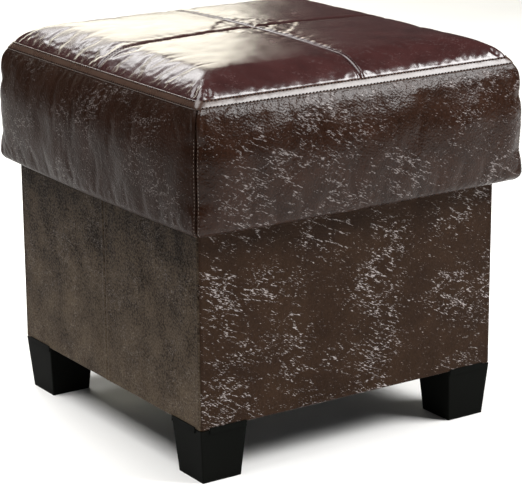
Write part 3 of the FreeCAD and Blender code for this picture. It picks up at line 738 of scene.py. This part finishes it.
def box_outline():
    """The box cover's outline: share of the way in, half width in x, half width in y, centre in y
    and height. It runs from the drop inside the rim, over the rim, down the face and under the box.
    Share 0 is the outer face and 1 the inner one."""
    in_high = corners("lining_left", "lining_right")[1]
    front_in, back_in = corners("lining_front")[0][1], corners("lining_back")[1][1]
    inner = (in_high[0] - 0.1, (back_in - front_in) / 2 - 0.1, (back_in + front_in) / 2)
    outer = (BOX_HALF, BOX_HALF, BOX_Y)
    rim = np.array(inner) - np.array(outer)
    r = FOLD_RADIUS
    turn = np.linspace(0, math.pi / 2, 7)
    deep = BOX_HALF - inner[0]
    path = [(1.0, Z_RIM - RIM_DROP), (1.0, Z_RIM - RIM_DROP / 2)]
    path += [(1 - r / deep * (1 - math.cos(t)), Z_RIM - r + r * math.sin(t)) for t in turn]
    path += [(0.5, Z_RIM)]
    path += [(r / deep * (1 - math.sin(t)), Z_RIM - r + r * math.cos(t)) for t in turn]
    path += [(0.0, z) for z in np.linspace(Z_RIM - 3 * r, Z_BOX + 2 * r, 44)]
    path += [(r / deep * (1 - math.cos(t)), Z_BOX + r - r * math.sin(t)) for t in turn]
    path += [(q / deep, Z_BOX) for q in (6.0, 12.0, 20.0, 30.0)]
    share, z = np.array(path).T
    half = [outer[i] + rim[i] * share for i in range(3)]
    return np.array(share), *half, z


def box_points(side, s):
    """Points of the box cover's outer face for places s from -1 to 1 along a side."""
    share, hx, hy, cy, z = box_outline()
    ss = np.repeat(np.asarray(s)[:, None], len(z), 1)
    a, b = side_ab(side, ss)
    x, y = ring(a, b, hx[None], hy[None], cy[None], BOX_POWER, 0.0)
    return np.stack([x, y, z[None] + 0 * x], -1), share


def box_panel(name, side, low, high):
    """A panel of the box's cover from low to high along a side, stretched over the board with slight
    waves, dipping to its seams. Cells over the hinges' mortises are left open."""
    places = graded((high - low) * BOX_HALF, 0.5, 3.0, 5.0) / BOX_HALF + low
    leaves = [corners(leaf) for leaf in HINGE_LEAVES] if side == "back" else []
    for leaf_low, leaf_high in leaves:
        for edge in -np.array([leaf_low[0] - LEAF_GAP, leaf_high[0] + LEAF_GAP]) / BOX_HALF:
            places[np.argmin(np.abs(places - edge))] = edge
    grid, share = box_points(side, places)
    n = -normals(grid)
    to_seam = np.minimum(places - low, high - places)[:, None] * BOX_HALF
    z = grid[..., 2]
    on_face = smooth(z, Z_BOX + 2, Z_BOX + 20) * (1 - smooth(z, Z_RIM - 20, Z_RIM - 4))
    on_face = on_face * (share[None] < 0.01) * smooth(to_seam, 2, 25)
    lift = -0.35 * bump(to_seam, 0.7) + 0.3 * bump(to_seam - 3.5, 2.2)
    lift = lift + (0.06 * ripple(grid, WRINKLE) + 0.22 * ripple(grid, PUFF) + 0.35) * on_face
    grid = grid + n * lift[..., None]
    keep = None
    if side == "back":
        mid = (grid[:-1, :-1] + grid[1:, 1:]) / 2
        keep = np.ones(mid.shape[:2], bool)
        for leaf_low, leaf_high in leaves:
            inside = (mid[..., 0] > leaf_low[0] - LEAF_GAP) & (mid[..., 0] < leaf_high[0] + LEAF_GAP)
            keep &= ~(inside & (mid[..., 1] > leaf_low[1] - LEAF_GAP) & (mid[..., 2] > leaf_low[2]))
    return sheet_piece(name, grid, cover_flank if side == "left" else cover_front, keep=keep, flip=True)


def box_row(side, s):
    """Upright path just off the box's face at place s along a side, and the normals there."""
    lift = 0.15
    z = np.linspace(Z_BOX + 5, Z_RIM - 4, 120)
    a, b = side_ab(side, np.full_like(z, s))
    x, y = ring(a, b, BOX_HALF, BOX_HALF, BOX_Y, BOX_POWER, 0.0)
    n = {"front": (0, -1, 0), "back": (0, 1, 0), "left": (-1, 0, 0), "right": (1, 0, 0)}[side]
    n = np.tile(np.array(n, float), (len(z), 1))
    return np.stack([x, y, z], 1) + n * lift, n


# ---------------------------------------------------------------- lining and cloths
def lining_wall(side):
    """A wall of the lining: thin cloth that hangs a little slack between its corners."""
    low, high = corners("lining_left", "lining_right", "lining_front", "lining_back")
    half_x, half_y = (high[0] - low[0]) / 2 - 0.1, (high[1] - low[1]) / 2 - 0.1
    centre = (high[1] + low[1]) / 2
    s = graded(2.0, 0.01, 0.03, 0.03) - 1
    z = np.linspace(low[2] + 0.5, high[2], 50)
    ss, zz = np.meshgrid(s, z, indexing="ij")
    slack = (1 - ss ** 2) * smooth(high[2] - zz, 0, 60)
    a, b = side_ab(side, ss)
    x, y = ring(a, b, half_x, half_y, centre, 60.0, 0.0)
    grid = np.stack([x, y, zz], -1)
    inward = {"front": (0, 1, 0), "back": (0, -1, 0), "left": (1, 0, 0), "right": (-1, 0, 0)}[side]
    lift = (0.6 + 0.5 * ripple(grid, PUFF) + 0.15 * ripple(grid, WRINKLE)) * slack
    grid = grid + np.array(inward, float) * lift[..., None]
    return sheet_piece("storage_lining_%s" % side, grid, lining_cloth, thickness=0.8)


def flat_cloth(name, source, material, up, notch=None):
    """A thin cloth stapled flat: its outer face billows slightly between the staples. notch is the
    side of the square left out at each corner."""
    low, high = corners(source)
    x = graded(high[0] - low[0], 2.0, 6.0, 8.0) + low[0]
    y = graded(high[1] - low[1], 2.0, 6.0, 8.0) + low[1]
    if notch:
        for line, lo, hi in ((x, low[0], high[0]), (y, low[1], high[1])):
            for e in (lo + notch, hi - notch):
                line[np.argmin(np.abs(line - e))] = e
    xx, yy = np.meshgrid(x, y, indexing="ij")
    z = np.full_like(xx, high[2] if up else low[2])
    grid = np.stack([xx, yy, z], -1)
    edge = np.minimum(np.minimum(xx - low[0], high[0] - xx), np.minimum(yy - low[1], high[1] - yy))
    inward = (-1 if up else 1) * 0.15
    grid[..., 2] += inward * (1 + ripple(grid, PUFF) * 0.5) * smooth(edge, 6, 60)
    keep = None
    if notch:
        mid = (grid[:-1, :-1] + grid[1:, 1:]) / 2
        in_x = (mid[..., 0] < low[0] + notch) | (mid[..., 0] > high[0] - notch)
        in_y = (mid[..., 1] < low[1] + notch) | (mid[..., 1] > high[1] - notch)
        keep = ~(in_x & in_y)
    return sheet_piece(name, grid, material, thickness=0.35, keep=keep, flip=not up)


CARD_SINK = 0.3             # the card's top lies this much under the node's


def floor_pad():
    """The loose lined card on the storage floor: a thin slab with a soft round edge."""
    low, high = corners("storage_floor_pad")
    half = (high - low) / 2
    mid = (high + low) / 2
    u = np.linspace(-1, 1, 81)
    turn = np.linspace(0, math.pi, 9)
    uu, vv = np.meshgrid(u, u, indexing="ij")
    c = np.maximum(np.maximum(np.abs(uu), np.abs(vv)), 1e-6)
    r = half[2]
    x, y = ring(uu / c, vv / c, (half[0] - r) * c, (half[1] - r) * c, 0.0, 40.0, 0.0)
    crown = 0.25 * ripple(np.stack([x, y, 0 * x], -1), PUFF) * (1 - c ** 8)
    upper = np.stack([x + mid[0], y + mid[1], mid[2] + r + crown - CARD_SINK], -1)
    lower = np.stack([x + mid[0], y + mid[1], mid[2] - r + 0 * x], -1)
    shells = [(upper, grid_faces(81, 81)), (lower, grid_faces(81, 81)[:, ::-1])]
    for side in SIDES:
        ss, tt = np.meshgrid(u, turn, indexing="ij")
        grow = r * np.sin(tt)
        x, y = ring(*side_ab(side, ss), half[0] - r + grow, half[1] - r + grow, 0.0, 40.0, 0.0)
        z = mid[2] + r * np.cos(tt) - CARD_SINK * (tt == 0)
        shells.append((np.stack([x + mid[0], y + mid[1], z], -1), grid_faces(81, 9)))
    return shell_piece("storage_floor_card", shells, lining_cloth)


# ---------------------------------------------------------------- assembly
def keep_piece(piece, body, slot, *nodes):
    """Rides the piece on its body and hides the CAD nodes that it stands for; its slot is not used."""
    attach(piece, body)
    if nodes:
        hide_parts(*nodes)
    return piece


def keep_sheet(piece, body, slot, node_name, cut, held, *under):
    """Keeps a piece of cloth that stands for a CAD node. cut is the width and length of its blank
    in millimetres, and its flat area too where mitres, notches or corners are cut away; it is not used."""
    keep_piece(piece, body, slot, node_name)


# blanks of the cover, lining and cloths: width, length and, where it isn't a rectangle, flat area
TOP_CUT = (212.0, 212.0, 43800.0)
BAND_CUT = (420.0, 200.0, 77400.0)
FRONT_CUT, BACK_CUT = (384.0, 291.0, 107500.0), (384.0, 343.0, 123500.0)
FLANK_FRONT_CUT, FLANK_REAR_CUT = (192.0, 291.0, 53200.0), (210.0, 291.0, 53300.0)
WIDE_LINING, DEEP_LINING = (352.0, 182.0), (334.0, 182.0)
LINING_CUT = {"front": WIDE_LINING, "back": WIDE_LINING, "left": DEEP_LINING, "right": DEEP_LINING}
BOX_CLOTH_CUT, LID_CLOTH_CUT = (361.0, 361.0, 121500.0), (330.0, 330.0)

lid_padding = keep_piece(padding(), "lid", "padding", "lid_foam")
for end in ("front", "back"):
    for side in ("left", "right"):
        keep_sheet(top_panel(end, side), "lid", "brown_cover", "lid_top_%s_%s" % (end, side),
                   TOP_CUT, "stretched", lid_padding)
for side in SIDES:
    keep_sheet(band_panel(side), "lid", "brown_cover", "lid_band_%s" % side, BAND_CUT, "stretched",
               lid_padding, "lid_board")
binding = keep_piece(lid_binding(), "lid", "brown_cover")

half_tape = SEAM_TAPE / 2
tape_rows = [lid_row(side, offset, SEAM_TAPE_RISE + 0.1)
             for side in SIDES for offset in (-half_tape + TAPE_MARGIN, half_tape - TAPE_MARGIN)]
keep_piece(stitches("lid_binding_stitches", tape_rows, thread_dark, length=2.2, pitch=4.2, thread=0.6),
           "lid", "brown_cover")
cross_rows = [cross_row(axis, sign, off * TOP_ROW)
              for axis in "xy" for sign in (-1, 1) for off in (-1, 1)]
keep_piece(stitches("lid_top_stitches", cross_rows, thread_dark, length=2.6), "lid", "brown_cover")
corner_rows = [upright_row(side, end, 3.0) for side in SIDES for end in (-1, 1)]
keep_piece(stitches("lid_corner_stitches", corner_rows, thread_light, length=2.2, thread=0.25),
           "lid", "brown_cover")

box_covers = [
    ("front", "front", -1, 1, FRONT_CUT), ("back", "back", -1, 1, BACK_CUT),
    ("right_front", "right", -1, 0, FLANK_FRONT_CUT), ("right_rear", "right", 0, 1, FLANK_REAR_CUT),
    ("left_rear", "left", -1, 0, FLANK_REAR_CUT), ("left_front", "left", 0, 1, FLANK_FRONT_CUT),
]
for part_name, side, low, high, cut in box_covers:
    keep_sheet(box_panel("box_cover_" + part_name, side, low, high), "box", "brown_cover",
               "cover_" + part_name, cut, "stretched", side + "_board")
box_rows = [box_row(side, end * (1 - 3.5 / BOX_HALF)) for side in SIDES for end in (-1, 1)]
keep_piece(stitches("box_corner_stitches", box_rows, thread_dark, length=2.4, thread=0.22),
           "box", "brown_cover")

for side in SIDES:
    keep_sheet(lining_wall(side), "box", "black_lining", "lining_%s" % side, LINING_CUT[side], "hung",
               "%s_board" % side)
floor_card = keep_piece(floor_pad(), "box", "black_lining", "storage_floor_pad")
keep_sheet(flat_cloth("box_underside_cloth", "box_dust_cover", dust_cloth, False, notch=47.0), "box",
           "dust_cloth", "box_dust_cover", BOX_CLOTH_CUT, "stretched", "floor_board")
keep_sheet(flat_cloth("lid_underside_cloth", "lid_dust_cover", dust_cloth, False), "lid", "dust_cloth",
           "lid_dust_cover", LID_CLOTH_CUT, "stretched", "lid_board")

finishes = {
    "particle_board": chipboard, "plywood": plywood, "pine": pine, "foot_plastic": foot_black,
    "hinge_steel": zinc, "zinc_screws": zinc, "staple_wire": wire_steel, "brown_cover": cover_front,
    "black_lining": lining_cloth, "dust_cloth": dust_cloth, "padding": foam,
}
for part in frame["record"]["subparts"]:
    solid = frame["nodes"][part["node"]]
    solid.data.materials.clear()
    solid.data.materials.append(finishes[part["material_slot"]])


# ---------------------------------------------------------------- studio
def area_light(name, where, target, size, power, colour):
    """A soft rectangular light at where, aimed at target, in metres and watts."""
    light = bpy.data.lights.new(name, "AREA")
    light.shape = "RECTANGLE"
    light.size, light.size_y = size
    light.energy = power
    light.color = linear(colour)[:3]
    holder = bpy.data.objects.new(name, light)
    bpy.context.scene.collection.objects.link(holder)
    holder.location = where
    holder.rotation_euler = (Vector(target) - Vector(where)).to_track_quat("-Z", "Y").to_euler()
    holder.visible_camera = False


def studio():
    """White paper floor, a large box light behind on the left, a narrow one above it, the main light
    in front on the right, a top light, and a world that is pale to look at and lights only a little."""
    far = 15.0 / MM
    xx, yy = np.meshgrid([-far, far], [-far, far], indexing="ij")
    # matt white paper, so slightly mottled that it reads as plain
    paper = grained("studio_paper", "f1f0ed", "f6f5f3", 400.0, 0.0, 0.9, Specular_IOR_Level=0.1)
    floor = new_piece("studio_floor", np.stack([xx, yy, 0 * xx], -1), grid_faces(2, 2), paper)
    world = bpy.data.worlds.new("studio")
    bpy.context.scene.world = world
    world.use_nodes = True
    sky = world.node_tree.nodes["Background"]
    sky.inputs["Color"].default_value = linear("eef0f2")
    seen = node(world, "ShaderNodeLightPath")
    level = node(world, "ShaderNodeMapRange", {"Value": seen.outputs["Is Camera Ray"]},
                 To_Min=0.06, To_Max=0.9)
    world.node_tree.links.new(level.outputs["Result"], sky.inputs["Strength"])
    area_light("back_left_box", (0.94, 3.78, 1.37), (0, 0, 0.43), (2.7, 1.17), 44, "fffbe9")
    area_light("back_strip", (0.50, 2.86, 2.39), (0, 0, 0.43), (1.2, 0.6), 22, "ffffff")
    area_light("main_box", (1.75, -1.60, 2.25), (0, 0, 0.38), (1.6, 1.15), 140, "ffffff")
    area_light("top_box", (-0.9, 0.4, 2.6), (-0.9, 0.4, 0), (2.2, 2.2), 120, "ffffff")
    bpy.context.scene.view_settings.view_transform = "Standard"


def camera():
    """Camera with a long lens, level to within half a degree, looking down a little at the front
    left corner."""
    azimuth, elevation, roll = math.radians(-33.622), math.radians(16.001), math.radians(0.409)
    back = Vector((math.sin(azimuth) * math.cos(elevation), -math.cos(azimuth) * math.cos(elevation),
                   math.sin(elevation)))
    right = (-back).cross(Vector((0, 0, 1))).normalized()
    up = back.cross(right)
    turned_right = math.cos(roll) * right - math.sin(roll) * up
    turned_up = math.sin(roll) * right + math.cos(roll) * up
    data = bpy.data.cameras.new("camera")
    data.sensor_width, data.lens = 36.0, 146.70
    data.clip_end = 100.0
    seen = bpy.data.objects.new("camera", data)
    bpy.context.scene.collection.objects.link(seen)
    turn = Matrix((turned_right, turned_up, back)).transposed()
    place = (-1.28061, -1.93593, 0.85473)
    seen.matrix_world = Matrix.Translation(place) @ turn.to_4x4()
    bpy.context.scene.camera = seen


studio()
camera()
